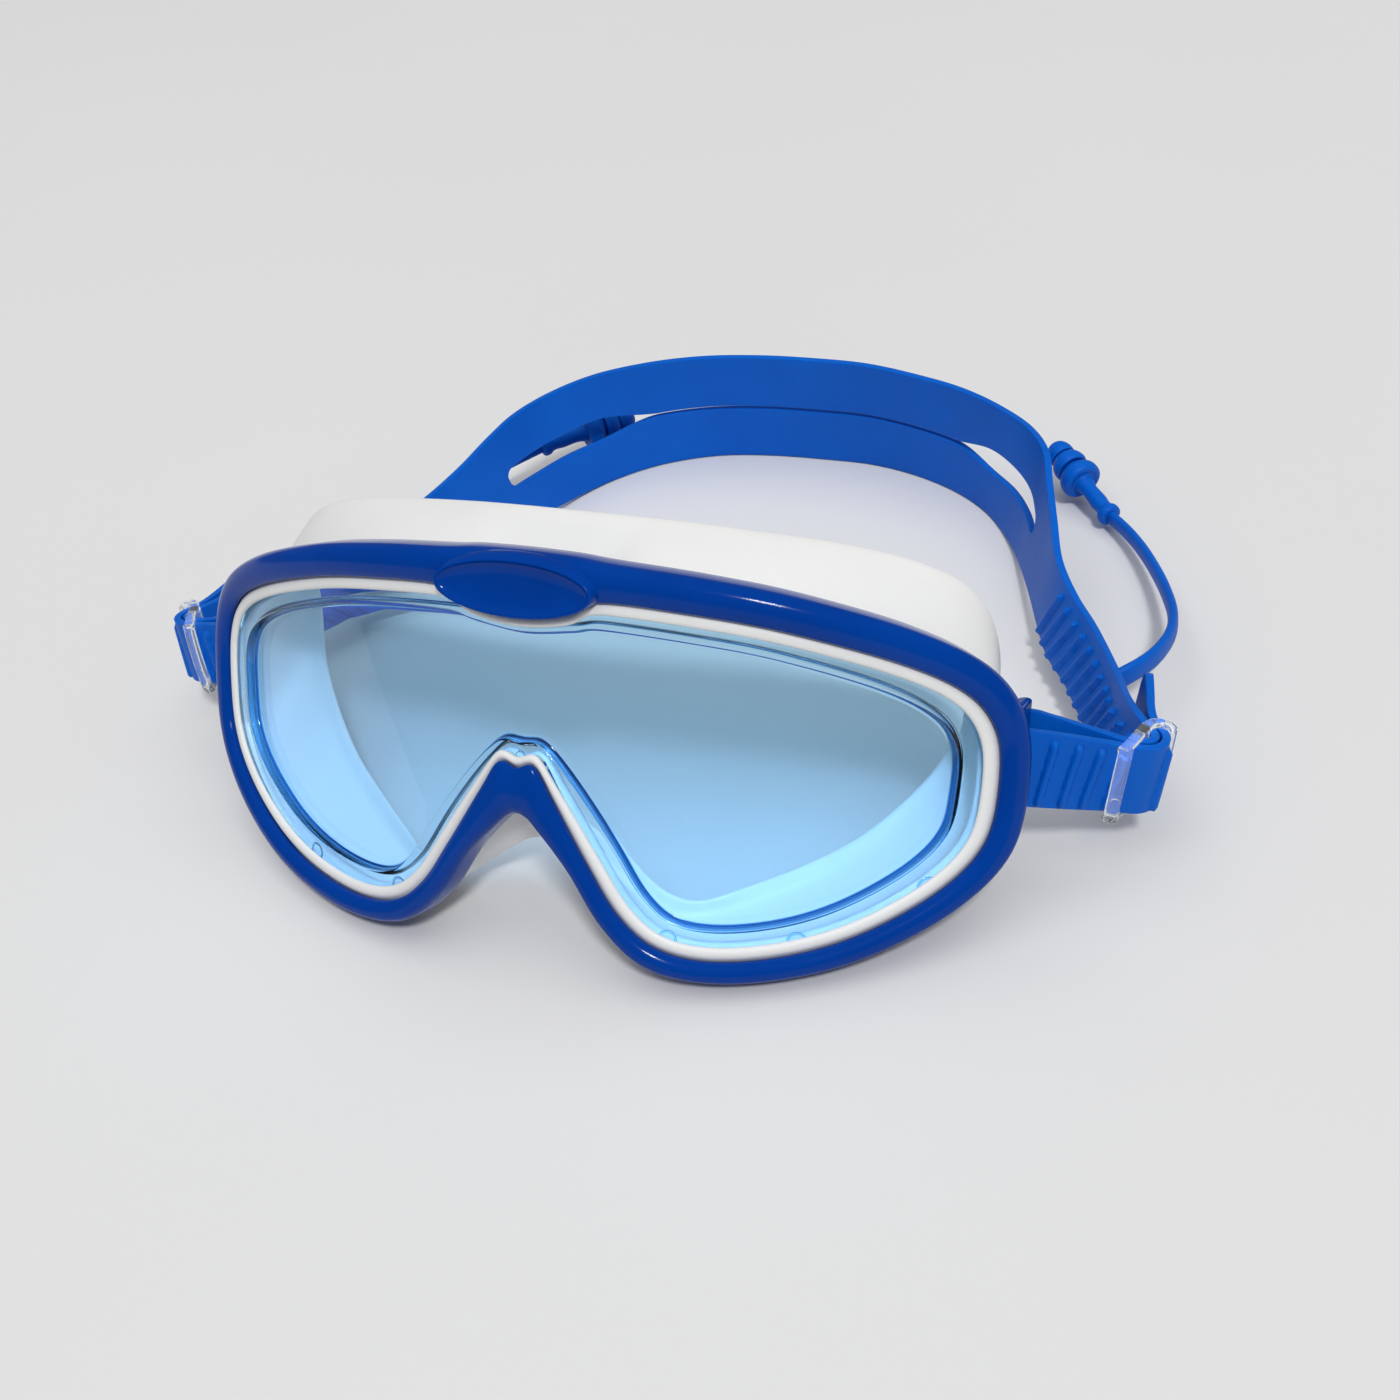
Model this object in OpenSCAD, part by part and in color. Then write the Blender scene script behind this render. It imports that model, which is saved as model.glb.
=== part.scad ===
// Swim goggles: one bent lens in a soft skirt, held by a rigid frame,
// with a split head strap, two strap buckles and two corded ear plugs.
// Millimetres, Z up, standing on the floor as it rests on its lower edge and strap.

/* [Lens] */
// Radius that the lens and frame are bent to
lens_r = 120; // [117:1:124]
// Thickness of the lens
lens_t = 2; // [1.8:0.1:2.2]
// Depth of the pane behind the lens ledge
pane_step = 1.7; // [1:0.1:1.8]

/* [Frame] */
// Height of the rounded frame front above the lens edge
frame_crest = 1.3; // [0.8:0.1:1.8]
// Depth of the frame behind the lens edge
frame_depth = 5.9; // [5.6:0.1:6]
// Depth of the dish in the bare oval plate
dish = 0.8; // [0.4:0.1:1.2]

/* [Skirt] */
// Wall thickness of the soft skirt
skirt_t = 1.5; // [1.2:0.1:1.8]
// Width of the sealing lip that turns in against the face
seal_lip = 5; // [3:0.5:6]

/* [Strap] */
// Thickness of the strap
strap_t = 1.3; // [1.1:0.1:1.4]
// Width of the strap ends that run through the buckles
strap_w = 12.6; // [11:0.2:13]
// Opening of the long slots between the two head bands
slot_w = 5.2; // [4.8:0.1:6]
// Thickness of the round grip ribs
rib_d = 1.6; // [1.4:0.1:2]

/* [Buckles] */
// Diameter of the middle bar that the strap bends over
bar_d = 1.9; // [1.7:0.1:2.1]
// Thickness of the two buckle rails
rail_t = 1.1; // [0.9:0.1:1.4]

/* [Ear plugs] */
// Diameter of the largest flange
plug_d = 8.4; // [7.8:0.2:9]
// Length of the plug from stem to tip
plug_l = 23; // [21:0.5:25]
// Width of the flat cord where it leaves the strap
cord_w = 4.4; // [3.6:0.1:4.8]

/* [Hidden] */

// Lean of the mask as it rests, its height off the floor, and the row centre
mask_lean = 26;
mask_z = 6.55;
row_y = -79.65;
steps = 4;
fit_gap = 0.2;

// Half outline from top centre to nose centre, one row per place:
// lens opening x, z; frame outside x, z; seal rim x, z, depth; pane inset
half_rows = [
  [0, 53.3, 0, 63.5, 0, 67.2, 21, 3.6],
  [8.4, 54.4, 8.4, 63.3, 10, 67.1, 21.5, 3.8],
  [13.5, 56.9, 14, 62.8, 19, 66.8, 22.6, 4.6],
  [27.5, 56.2, 28.3, 61.6, 30, 66, 25, 4.8],
  [41, 54.3, 42.5, 59.4, 42, 64.8, 28.5, 4.8],
  [56, 50.3, 58.2, 55, 53.6, 62.4, 32.4, 5],
  [65.5, 45.6, 68.8, 49.3, 61.6, 58, 36.8, 5.4],
  [70, 39.4, 74, 41.5, 65.6, 50, 39.6, 5.4],
  [71, 31, 75.2, 31.5, 66, 40, 40.5, 5.4],
  [69.7, 21.4, 73.6, 19.8, 64, 30, 39, 5.4],
  [64.2, 14, 67, 11, 58.6, 21.5, 36, 5.2],
  [54, 7.1, 55.9, 3.6, 50.5, 13.2, 31.5, 5],
  [43.5, 3.1, 44.5, -0.6, 41.5, 7.6, 27, 4.8],
  [32, 1.3, 32, -2.4, 31.5, 3.6, 21.5, 4.8],
  [23.5, 2.7, 21.8, -0.8, 23, 2, 17.5, 4.8],
  [17.4, 7.4, 14.6, 5.2, 16.5, 4.4, 16, 5],
  [12, 15.5, 8.9, 13.6, 11, 8.4, 15.5, 5],
  [6.2, 25, 3.4, 19.6, 6, 12, 15, 4.6],
  [3, 29.9, 1.4, 21.2, 3, 13.2, 14.7, 3.7],
  [0, 29.3, 0, 21.6, 0, 13.6, 14.5, 4]];

function flip(r) = [-r[0], r[1], -r[2], r[3], -r[4], r[5], r[6], r[7]];
function ring(h, n) = concat(h, [for (i = [n - 2:-1:1]) flip(h[i])]);
function blend4(a, b, c, d, t) =
  0.5 * (2 * b + (c - a) * t + (2 * a - 5 * b + 4 * c - d) * t * t
  + (3 * b - a - 3 * c + d) * t * t * t);
function smooth_ring(p, m) = [for (i = [0:len(p) - 1], k = [0:m - 1])
  let (n = len(p))
  blend4(p[(i + n - 1) % n], p[i], p[(i + 1) % n], p[(i + 2) % n], k / m)];
function smooth_line(p, m) = concat([for (i = [0:len(p) - 2], k = [0:m - 1])
  let (n = len(p))
  blend4(p[max(i - 1, 0)], p[i], p[i + 1], p[min(i + 2, n - 1)], k / m)],
  [p[len(p) - 1]]);
function unit(v) = v / norm(v);

rows = smooth_ring(ring(half_rows, len(half_rows)), steps);

// Places on a row: e runs outwards from the lens opening, b runs back
function inward(r) = unit([r[0] - r[2], r[1] - r[3]]);
function at_e(r, e) = [r[0], r[1]] - inward(r) * e;
function at_part(r, a) = [r[0] + (r[2] - r[0]) * a, r[1] + (r[3] - r[1]) * a];
function bent(q, b) = [(lens_r - b) * q[0] / lens_r,
  lens_r - (lens_r - b) * sqrt(1 - (q[0] / lens_r) * (q[0] / lens_r)), q[1]];
function rim(r, e, back) = [r[4] - inward(r)[0] * e, r[6] + back, r[5] - inward(r)[1] * e];

// Closed tube of sections, and an open one with flat ends
module closed_sweep(secs) {
  n = len(secs);
  m = len(secs[0]);
  pts = [for (s = secs, p = s) p];
  tri = [for (i = [0:n - 1], j = [0:m - 1])
    let (a = i * m + j, b = i * m + (j + 1) % m,
      c = ((i + 1) % n) * m + (j + 1) % m, d = ((i + 1) % n) * m + j)
    each [[a, b, c], [a, c, d]]];
  polyhedron(pts, tri);
}
module open_sweep(secs) {
  n = len(secs);
  m = len(secs[0]);
  pts = [for (s = secs, p = s) p];
  tri = [for (i = [0:n - 2], j = [0:m - 1])
    let (a = i * m + j, b = i * m + (j + 1) % m,
      c = (i + 1) * m + (j + 1) % m, d = (i + 1) * m + j)
    each [[a, b, c], [a, c, d]]];
  ends = concat([for (j = [1:m - 2]) [0, j + 1, j]],
    [for (j = [1:m - 2]) [(n - 1) * m, (n - 1) * m + j, (n - 1) * m + j + 1]]);
  polyhedron(pts, concat(tri, ends));
}

module on_mask() {
  translate([0, row_y, mask_z])
    rotate([-mask_lean, 0, 0])
      children();
}
function from_mask(q) = [q[0],
  q[1] * cos(mask_lean) + q[2] * sin(mask_lean),
  q[2] * cos(mask_lean) - q[1] * sin(mask_lean) + mask_z];

// Frame: rounded rigid rim with an oval plate and a strap lug at each side
wall_in = 2.2;
lip_under = 1.65;
lug_z = 32.5;
lug_at = bent([77.5, lug_z], 9.95);
lug_low = 7.9;
lug_high = 7;
ear_t = 1.8;
lug_bar_w = 1.8;
lug_bar_l = 5;
oval_z = 58;
oval_x = 13.4;
oval_h = 4.5;
oval_front = 2.1;
function frame_sec(r) = [
  bent(at_e(r, 0), 0.35), bent(at_e(r, 0.1), -0.4),
  bent(at_part(r, 0.22), -frame_crest * 0.8), bent(at_part(r, 0.5), -frame_crest),
  bent(at_part(r, 0.8), -frame_crest * 0.65), bent(at_part(r, 0.96), 0.3),
  bent(at_part(r, 1), 1.7), bent(at_part(r, 1), frame_depth - 0.9),
  bent(at_part(r, 0.9), frame_depth), bent(at_e(r, wall_in), frame_depth),
  bent(at_e(r, wall_in), lip_under), bent(at_e(r, 0.9), 1.3)];
module oval(k, l, front, back) {
  translate([0, back, oval_z])
    rotate([90, 0, 0])
      linear_extrude(height = back - front)
        polygon([for (a = [0:7.5:359]) [oval_x * k * cos(a), oval_h * l * sin(a)]]);
}
module lug() {
  for (z = [lug_z - lug_low - ear_t, lug_z + lug_high])
    translate([lug_at[0], lug_at[1], z])
      linear_extrude(height = ear_t)
        polygon([[-0.9, -9.2], [0.5, -8.6], [0.9, -6], [0.9, 1.6], [0.5, 2.3],
          [-0.5, 2.4], [-1.3, 1.4], [-1.4, -1], [-1.4, -4.6], [-1.5, -7]]);
  translate([lug_at[0], lug_at[1], lug_z - lug_low - 1]) {
    linear_extrude(height = lug_low + lug_high + 2) {
      square([lug_bar_w, lug_bar_l - lug_bar_w], center = true);
      translate([0, (lug_bar_l - lug_bar_w) / 2])
        circle(d = lug_bar_w, $fn = 32);
      translate([0, (lug_bar_w - lug_bar_l) / 2])
        circle(d = lug_bar_w, $fn = 32);
    }
  }
}
module frame() {
  color([0.05, 0.25, 0.6])
    on_mask() {
      difference() {
        union() {
          closed_sweep([for (r = rows) frame_sec(r)]);
          oval(1, 1, -oval_front, 0.6);
        }
        oval(0.93, 0.86, -oval_front - 1, -oval_front + dish);
      }
      lug();
      mirror([1, 0, 0])
        lug();
    }
}

// Lens: one bent sheet, a ledge round the edge and a pane set a step back
ledge_b = 1.35;
edge_in = 1.1;
ledge_wide = 1;
pane_b = ledge_b + min(pane_step, lens_t - 0.3);
function cut_line(e_list, b) = [for (i = [0:len(rows) - 1])
  let (q = bent(at_e(rows[i], -e_list[i]), b)) [q[0], q[2]]];
module bent_sheet(front, back) {
  difference() {
    translate([0, lens_r, -60])
      cylinder(r = lens_r - front, h = 200, $fn = 96);
    translate([0, lens_r, -61])
      cylinder(r = lens_r - back, h = 202, $fn = 96);
  }
}
module cut_out(outline) {
  translate([0, 45, 0])
    rotate([90, 0, 0])
      linear_extrude(height = 50)
        polygon(outline);
}
module lens() {
  color([0.6, 0.8, 0.92, 0.4])
    on_mask() {
      difference() {
        intersection() {
          bent_sheet(ledge_b, ledge_b + lens_t);
          cut_out(cut_line([for (r = rows) edge_in], ledge_b + lens_t / 2));
        }
        cut_out(cut_line([for (r = rows) r[7]], ledge_b));
      }
      intersection() {
        bent_sheet(pane_b, pane_b + lens_t);
        cut_out(cut_line([for (r = rows) r[7] - ledge_wide], pane_b));
      }
    }
}

// Skirt: soft moulding, a groove that grips the lens and a wall to the face
grip_in = 2.2;
groove_e = -0.2;
nose_ease = 0.6;
function grip(r) = grip_in - (r[1] < 40 ? nose_ease * max(0, 1 - abs(r[0]) / 14) : 0);
function skirt_sec(r) = [
  bent(at_e(r, -grip(r)), ledge_b - fit_gap), bent(at_e(r, -grip(r)), 0.8),
  bent(at_e(r, 0.5 - grip(r)), 0.45), bent(at_e(r, -0.3), 0.5),
  bent(at_e(r, 0.7), 1.62), bent(at_e(r, wall_in - 0.3), lip_under + 0.25),
  bent(at_e(r, wall_in - 0.3), frame_depth + 0.5), rim(r, 0, 0),
  rim(r, -seal_lip, -0.6), rim(r, -seal_lip + 0.2, -1.8), rim(r, -skirt_t - 0.3, -2.6),
  bent(at_e(r, -0.2), frame_depth + 0.9), bent(at_e(r, -grip(r)), 4.9),
  bent(at_e(r, -grip(r)), ledge_b + lens_t + fit_gap),
  bent(at_e(r, groove_e), ledge_b + lens_t + fit_gap),
  bent(at_e(r, groove_e), ledge_b - fit_gap)];
module skirt() {
  color([0.93, 0.93, 0.92])
    on_mask()
      closed_sweep([for (r = rows) skirt_sec(r)]);
}

// Buckle place, right then left with x counted outwards: the soft strap lies
// a little differently on each side. Middle bar centre, turn, strap directions
buckle_at = [[88.16, 52.3, 15.67], [88.32, 49.33, 17.2]];
buckle_turn = [[-5.8, 10.8, 14.1], [-8.8, 5.4, 3.6]];
strap_out = [112, 108];
end_l = [4, 7.2];
function spin_x(a) = [[1, 0, 0], [0, cos(a), -sin(a)], [0, sin(a), cos(a)]];
function spin_y(a) = [[cos(a), 0, sin(a)], [0, 1, 0], [-sin(a), 0, cos(a)]];
function spin_z(a) = [[cos(a), -sin(a), 0], [sin(a), cos(a), 0], [0, 0, 1]];
function buckle_m(k) = spin_z(buckle_turn[k][2]) * spin_y(buckle_turn[k][1])
  * spin_x(buckle_turn[k][0]);
function in_buckle(k, q) = buckle_at[k] + buckle_m(k) * [q[0], q[1], len(q) > 2 ? q[2] : 0];
function buckle_up(k) = buckle_m(k) * [0, 0, 1];
function dir(a) = [cos(a), sin(a)];
layer_gap = 0.45;
bar_gap = 0.3;
front_gap = 0.7;
inner_r = bar_d / 2 + bar_gap + strap_t / 2;
outer_r = inner_r + strap_t + layer_gap;
tail_bend = 4.2;
tail_out = 87;
tail_l = 19;
tail_rise = 0.8;
rail_gap = 0.4;
front_bar_w = 2.2;
front_bar_h = 1.5;
front_bar = [-3.2, -outer_r - strap_t / 2 - front_gap - front_bar_h / 2];
rear_bar_d = 0.9;
rear_bar = (outer_r + strap_t / 2 + bar_gap + rear_bar_d / 2) * dir(15);
rail_w = 2.2;

module at_buckle(k) {
  translate([buckle_at[k][0], buckle_at[k][1] + row_y, buckle_at[k][2]])
    rotate(buckle_turn[k])
      children();
}
module rail_run(a, b) {
  d = b - a;
  translate(a)
    rotate(atan2(d[1], d[0]))
      translate([0, -rail_w / 2])
        square([norm(d), rail_w]);
  translate(b)
    circle(d = rail_w, $fn = 32);
}
module buckle(k) {
  half = strap_w / 2 + rail_gap;
  at_buckle(k) {
    cylinder(d = bar_d, h = 2 * half + rail_t, center = true, $fn = 32);
    translate([front_bar[0], front_bar[1], 0])
      cube([front_bar_w, front_bar_h, 2 * half + rail_t], center = true);
    translate([rear_bar[0], rear_bar[1], 0])
      cylinder(d = rear_bar_d, h = 2 * half + rail_t, center = true, $fn = 32);
    for (z = [-half - rail_t, half])
      translate([0, 0, z])
        linear_extrude(height = rail_t) {
          translate(front_bar)
            circle(d = rail_w, $fn = 32);
          rail_run(front_bar, [0, 0]);
          rail_run([0, 0], rear_bar * 0.9);
        }
  }
}
module buckle_right() {
  color([0.85, 0.88, 0.9, 0.5])
    buckle(0);
}
module buckle_left() {
  color([0.85, 0.88, 0.9, 0.5])
    mirror([1, 0, 0])
      buckle(1);
}

// Strap end: from the head strap over the middle bar, round the lug,
// back under the front bar, over the middle bar again and out as a tail
function arc(c, r, a0, a1, n) = [for (i = [0:n])
  let (a = a0 + (a1 - a0) * i / n) [c[0] + r * cos(a), c[1] + r * sin(a)]];
lug_gap = 0.35;
loop_r = lug_bar_w / 2 + lug_gap + strap_t / 2;
loop_c = (lug_bar_l - lug_bar_w) / 2;
function bk(k, list) = [for (q = list) [in_buckle(k, q), buckle_up(k)]];
lug_up = from_mask([0, 0, 1]) - from_mask([0, 0, 0]);
function lg(list) = [for (q = list)
  [from_mask([lug_at[0] + q[0], lug_at[1] + q[1], lug_z + q[2]]), lug_up]];
function out_end(k) = inner_r * dir(strap_out[k] - 90) + end_l[k] * dir(strap_out[k]);
function out_half(k) = out_end(k) - end_l[k] / 2 * dir(strap_out[k]);
function tail_point(k, d) = let (q = outer_r * dir(strap_out[k] - 90)
  + min(d, tail_bend) * dir(strap_out[k]) + max(d - tail_bend, 0) * dir(tail_out))
  [q[0], q[1], tail_rise * d * d / tail_l / tail_l];
function part_way(a, b, n) = [for (k = [1:n - 1]) a + (b - a) * k / n];
lug_back = lg([for (q = arc([0, loop_c], loop_r, 80, 180, 5)) [q[0], q[1], 0.3]]);
lug_front = lg([for (q = arc([0, -loop_c], loop_r, 180, 280, 5)) [q[0], q[1], -1.1]]);
// Tail length and width shares towards its rounded end
tail_shape = [[0.17, 1], [0.33, 1], [0.55, 1], [0.76, 1], [0.88, 0.9], [0.96, 0.68], [1, 0.36]];
function bar_in(k) = bk(k, [[front_bar[0], -inner_r]]);
function bar_out(k) = bk(k, [[front_bar[0], -outer_r]]);
function end_path(k) = concat(
  bk(k, [out_end(k), out_half(k)]),
  bk(k, arc([0, 0], inner_r, strap_out[k] - 90, -90, 8)), bar_in(k),
  part_way(bar_in(k)[0], lug_back[0], 7), lug_back, lug_front,
  part_way(lug_front[5], bar_out(k)[0], 7), bar_out(k),
  bk(k, arc([0, 0], outer_r, -90, strap_out[k] - 90, 8)),
  bk(k, [for (q = tail_shape) tail_point(k, tail_l * q[0])]));
function end_wide(n) = [for (i = [0:n - 1])
  let (j = i - n + len(tail_shape)) j < 0 ? 1 : tail_shape[j][1]];
function band_sec(p, t, up, w, h) = let (n = unit(cross(t, up)), u = unit(cross(n, t)))
  [p - u * w / 2 - n * h / 2, p - u * w / 2 + n * h / 2,
    p + u * w / 2 + n * h / 2, p + u * w / 2 - n * h / 2];
module band(path, wide, w, h) {
  n = len(path);
  open_sweep([for (i = [0:n - 1])
    band_sec(path[i][0], path[min(i + 1, n - 1)][0] - path[max(i - 1, 0)][0],
      path[i][1], w * wide[i], h)]);
}
module rib(a, b) {
  d = b - a;
  translate(a)
    rotate([0, acos(d[2] / norm(d)), atan2(d[1], d[0])])
      cylinder(d = rib_d, h = norm(d), $fn = 16);
}
bend_rib = dir(-38) * (outer_r + strap_t / 2);
module strap_end(k) {
  path = end_path(k);
  flat_a = lug_front[5][0];
  flat_b = bar_out(k)[0][0];
  up = buckle_up(k);
  flat_out = unit(cross(up, flat_a - flat_b));
  translate([0, row_y, 0]) {
    band(path, end_wide(len(path)), strap_w, strap_t);
    for (i = [0.24, 0.5, 0.76])
      let (c = flat_a + (flat_b - flat_a) * i + flat_out * strap_t / 2)
        rib(c - up * strap_w * 0.42, c + up * strap_w * 0.36);
    rib(in_buckle(k, [bend_rib[0], bend_rib[1], -strap_w * 0.48]),
      in_buckle(k, [bend_rib[0], bend_rib[1], strap_w * 0.32]));
  }
}
module strap_end_right() {
  color([0.07, 0.33, 0.7])
    strap_end(0);
}
module strap_end_left() {
  color([0.07, 0.33, 0.7])
    mirror([1, 0, 0])
      strap_end(1);
}

// Head strap: two bands side by side, split at the back, slotted at the sides.
// Rows from the back centre to the right end: lower edge, upper edge, slit
strap_rows = [
  [0, 157.6, 0.05, 0, 156.8, 25, 0.8],
  [12, 157, 0.05, 12, 156, 25, 0.8],
  [23.5, 153.8, 0.05, 24, 152.8, 25, 0.8],
  [33.6, 148.6, 0.05, 35, 148.6, 25, 1],
  [41, 142.5, 0.1, 44, 143, 25, slot_w],
  [46.5, 135.3, 0.4, 52, 136, 25, slot_w],
  [50.8, 127.5, 1.2, 57, 128, 25, slot_w],
  [54.2, 119.5, 2.8, 59.8, 118.8, 24, slot_w * 0.8],
  [58.2, 109.3, 4.4, 62.7, 109.3, 22, 0],
  [61.9, 99.6, 5, 65.7, 99.9, 20, 0],
  [65.9, 90, 5.5, 70.2, 91.8, 18.5, 0],
  [70.8, 82.2, 5.8, 74.8, 85, 17.8, 0],
  [74.2, 75.7, 6, 78.3, 78.7, 17.7, 0],
  [77.4, 69.1, 6.6, 81.6, 72, 18.1, 0],
  [80.7, 60.7, 8.4, 84.9, 63.7, 20, 0]];
// The left side spreads wider at the back; its rows after these are the same
left_rows = [
  [12, 157.4, 0.05, 12, 156.6, 25, 0.8],
  [24.5, 155.4, 0.05, 24.5, 154.8, 25, 0.8],
  [36.2, 149.8, 0.05, 36.4, 150.4, 25, 1],
  [44.4, 142.2, 0.1, 46.6, 143.6, 25, slot_w],
  [49.2, 134.8, 0.4, 53.2, 134.8, 25, slot_w],
  [52.2, 127.4, 1.2, 56.8, 126, 25, slot_w],
  [54.6, 119.5, 2.8, 58.8, 118, 24.2, slot_w * 0.8],
  [58, 109.3, 4.4, 61.6, 108.8, 22.2, 0]];
left_end = [82.6, 60.9, 8.3, 86.2, 63.5, 20.1, 0];
left_side = concat(left_rows, [for (i = [9:13]) strap_rows[i]], [left_end]);
function flip_strap(r) = [-r[0], r[1], r[2], -r[3], r[4], r[5], r[6]];
main_strap = smooth_line(concat(
  [for (i = [len(left_side) - 1:-1:0]) flip_strap(left_side[i])], strap_rows), 3);
// Round tips, centred on the line the strap lifts about
tip_gap = [0.5, 0.9];
function row_lo(r) = [r[0], r[1], r[2]];
function row_hi(r) = [r[3], r[4], r[5]];
function tip_rows(k, row) = let (mid = (row_lo(row) + row_hi(row)) / 2,
  half = (row_hi(row) - row_lo(row)) / 2, to = in_buckle(k, out_end(k)) - mid,
  reach = norm(to) - tip_gap[k])
  [for (a = [25, 50, 68, 82])
    let (c = mid + unit(to) * reach * sin(a), h = half * cos(a))
    [c[0] - h[0], c[1] - h[1], c[2] - h[2], c[0] + h[0], c[1] + h[1], c[2] + h[2], 0]];
right_tip = tip_rows(0, strap_rows[len(strap_rows) - 1]);
left_tip = tip_rows(1, left_end);
tip_n = len(right_tip);
full_strap = concat([for (i = [tip_n - 1:-1:0]) flip_strap(left_tip[i])], main_strap, right_tip);
slit_first = tip_n + 3 * (len(strap_rows) - 8);
slit_last = tip_n + 3 * (len(strap_rows) + 6);
function lane(r, k) = let (lo = row_lo(r), hi = row_hi(r),
  mid = (lo + hi) / 2, u = unit(hi - lo), g = max(r[6], 0.8) / 2)
  k == 0 ? lo : k == 1 ? mid - u * g : k == 2 ? mid + u * g : hi;
function strap_normal(i) = let (n = len(full_strap), a = full_strap[max(i - 1, 0)],
  b = full_strap[min(i + 1, n - 1)], r = full_strap[i])
  unit(cross([b[0] + b[3] - a[0] - a[3], b[1] + b[4] - a[1] - a[4], b[2] + b[5] - a[2] - a[5]],
    [r[3] - r[0], r[4] - r[1], r[5] - r[2]]));
// Grip ribs stand on the inner face, lower end nearer the back
rib_n = 9;
function rib_place(s, row, across) = let (i = tip_n + 3 * (len(strap_rows) - 1 + s * row),
  k = floor(i), f = i - k, a = full_strap[k], b = full_strap[k + 1], m = a + (b - a) * f)
  row_lo(m) + (row_hi(m) - row_lo(m)) * across + strap_normal(k) * strap_t / 2;
module strap_ribs(s) {
  for (k = [0:rib_n - 1])
    rib(rib_place(s, 9.3 + 0.46 * k, 0.04), rib_place(s, 9.8 + 0.46 * k, 0.84));
}
module head_strap() {
  n = len(full_strap);
  pts = [for (i = [0:n - 1], k = [0:3], s = [-1, 1])
    lane(full_strap[i], k) + strap_normal(i) * s * strap_t / 2];
  solid = [for (i = [0:n - 2], k = [0:2])
    if (k != 1 || i < slit_first || i >= slit_last) [i, k]];
  skin = [for (c = solid) let (a = c[0] * 8 + c[1] * 2, b = a + 2, e = a + 8, d = b + 8)
    each [[a, b, d], [a, d, e], [a + 1, d + 1, b + 1], [a + 1, e + 1, d + 1]]];
  edge_lo = [for (i = [0:n - 2]) let (a = i * 8, e = a + 8) each [[a, e, e + 1], [a, e + 1, a + 1]]];
  edge_hi = [for (i = [0:n - 2]) let (a = i * 8 + 6, e = a + 8)
    each [[a, a + 1, e + 1], [a, e + 1, e]]];
  slit = [for (i = [slit_first:slit_last - 1]) let (a = i * 8 + 2, e = a + 8, b = a + 2, d = b + 8)
    each [[a, a + 1, e + 1], [a, e + 1, e], [b, d, d + 1], [b, d + 1, b + 1]]];
  slit_ends = [for (i = [slit_first, slit_last]) let (a = i * 8 + 2, b = a + 2)
    each i == slit_first ? [[a, b, b + 1], [a, b + 1, a + 1]] : [[a, a + 1, b + 1], [a, b + 1, b]]];
  caps = [for (i = [0, n - 1], k = [0:2]) let (a = i * 8 + k * 2, b = a + 2)
    each i == 0 ? [[a, a + 1, b + 1], [a, b + 1, b]] : [[a, b, b + 1], [a, b + 1, a + 1]]];
  color([0.07, 0.33, 0.7])
    translate([0, row_y, 0]) {
      polyhedron(pts, [for (f = concat(skin, edge_lo, edge_hi, slit, slit_ends, caps))
        [f[2], f[1], f[0]]]);
      strap_ribs(1);
      strap_ribs(-1);
    }
}

// Ear plugs on flat cords that grow out of the outside of the strap
right_route = [[76.9, 77.5, 10.9], [79.2, 78.8, 10.5], [82, 81, 11.2], [84.2, 84.9, 10.8],
  [85.8, 90.8, 9.8], [86.3, 96.7, 8.8], [85.5, 103.2, 7.8], [82.9, 111.5, 6.6],
  [79.4, 119.9, 5.4], [75.1, 128.3, 4.4], [70.9, 134.9, 3.6], [67.4, 139.4, 3.1]];
right_aim = [-15, 16.4, 5.2];
left_route = [[-77, 77.6, 10.9], [-79.2, 78.8, 10.5], [-80.6, 82, 10.6], [-80.5, 88, 10.2],
  [-78.7, 96, 9.6], [-76, 105.4, 9.3], [-72.4, 115.8, 9.1], [-68.2, 125.4, 8.9],
  [-63.9, 133.4, 8.7], [-60.2, 139.4, 8.6]];
left_aim = [15, 16.5, -1];
cord_t = 1.9;
cord_end_w = 3;
module plug_cord(route) {
  p = smooth_line(route, 3);
  n = len(p);
  open_sweep([for (i = [0:n - 1])
    let (t = unit(p[min(i + 1, n - 1)] - p[max(i - 1, 0)]), s = unit(cross(t, [0, 0, 1])),
      u = cross(s, t), w = cord_w + (cord_end_w - cord_w) * i / (n - 1))
    [for (a = [22.5:45:359]) p[i] + u * w / 2 * cos(a) + s * cord_t / 2 * sin(a)]]);
}
module plug_cord_right() {
  color([0.07, 0.33, 0.7])
    translate([0, row_y, 0])
      plug_cord(right_route);
}
module plug_cord_left() {
  color([0.07, 0.33, 0.7])
    translate([0, row_y, 0])
      plug_cord(left_route);
}
module ear_plug(at, aim) {
  flat = norm([aim[0], aim[1]]);
  translate([at[0], at[1] + row_y, at[2]])
    rotate([0, 90 - atan2(aim[2], flat), atan2(aim[1], aim[0])])
      translate([0, 0, 0.5])
        rotate_extrude($fn = 48)
          polygon([[0, 0], [2.3, 0], [2.3, 1.8], [1.8, 2.3], [1.8, plug_l * 0.5],
            [plug_d * 0.42, plug_l * 0.47], [plug_d / 2, plug_l * 0.53],
            [plug_d * 0.46, plug_l * 0.6], [1.9, plug_l * 0.69],
            [plug_d * 0.36, plug_l * 0.66], [plug_d * 0.42, plug_l * 0.71],
            [plug_d * 0.38, plug_l * 0.77], [1.8, plug_l * 0.85],
            [plug_d * 0.29, plug_l * 0.82], [plug_d * 0.33, plug_l * 0.87],
            [plug_d * 0.28, plug_l * 0.94], [plug_d * 0.16, plug_l * 0.985], [0, plug_l]]);
}
module ear_plug_right() {
  color([0.07, 0.33, 0.7])
    ear_plug(right_route[len(right_route) - 1], right_aim);
}
module ear_plug_left() {
  color([0.07, 0.33, 0.7])
    ear_plug(left_route[len(left_route) - 1], left_aim);
}

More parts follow.
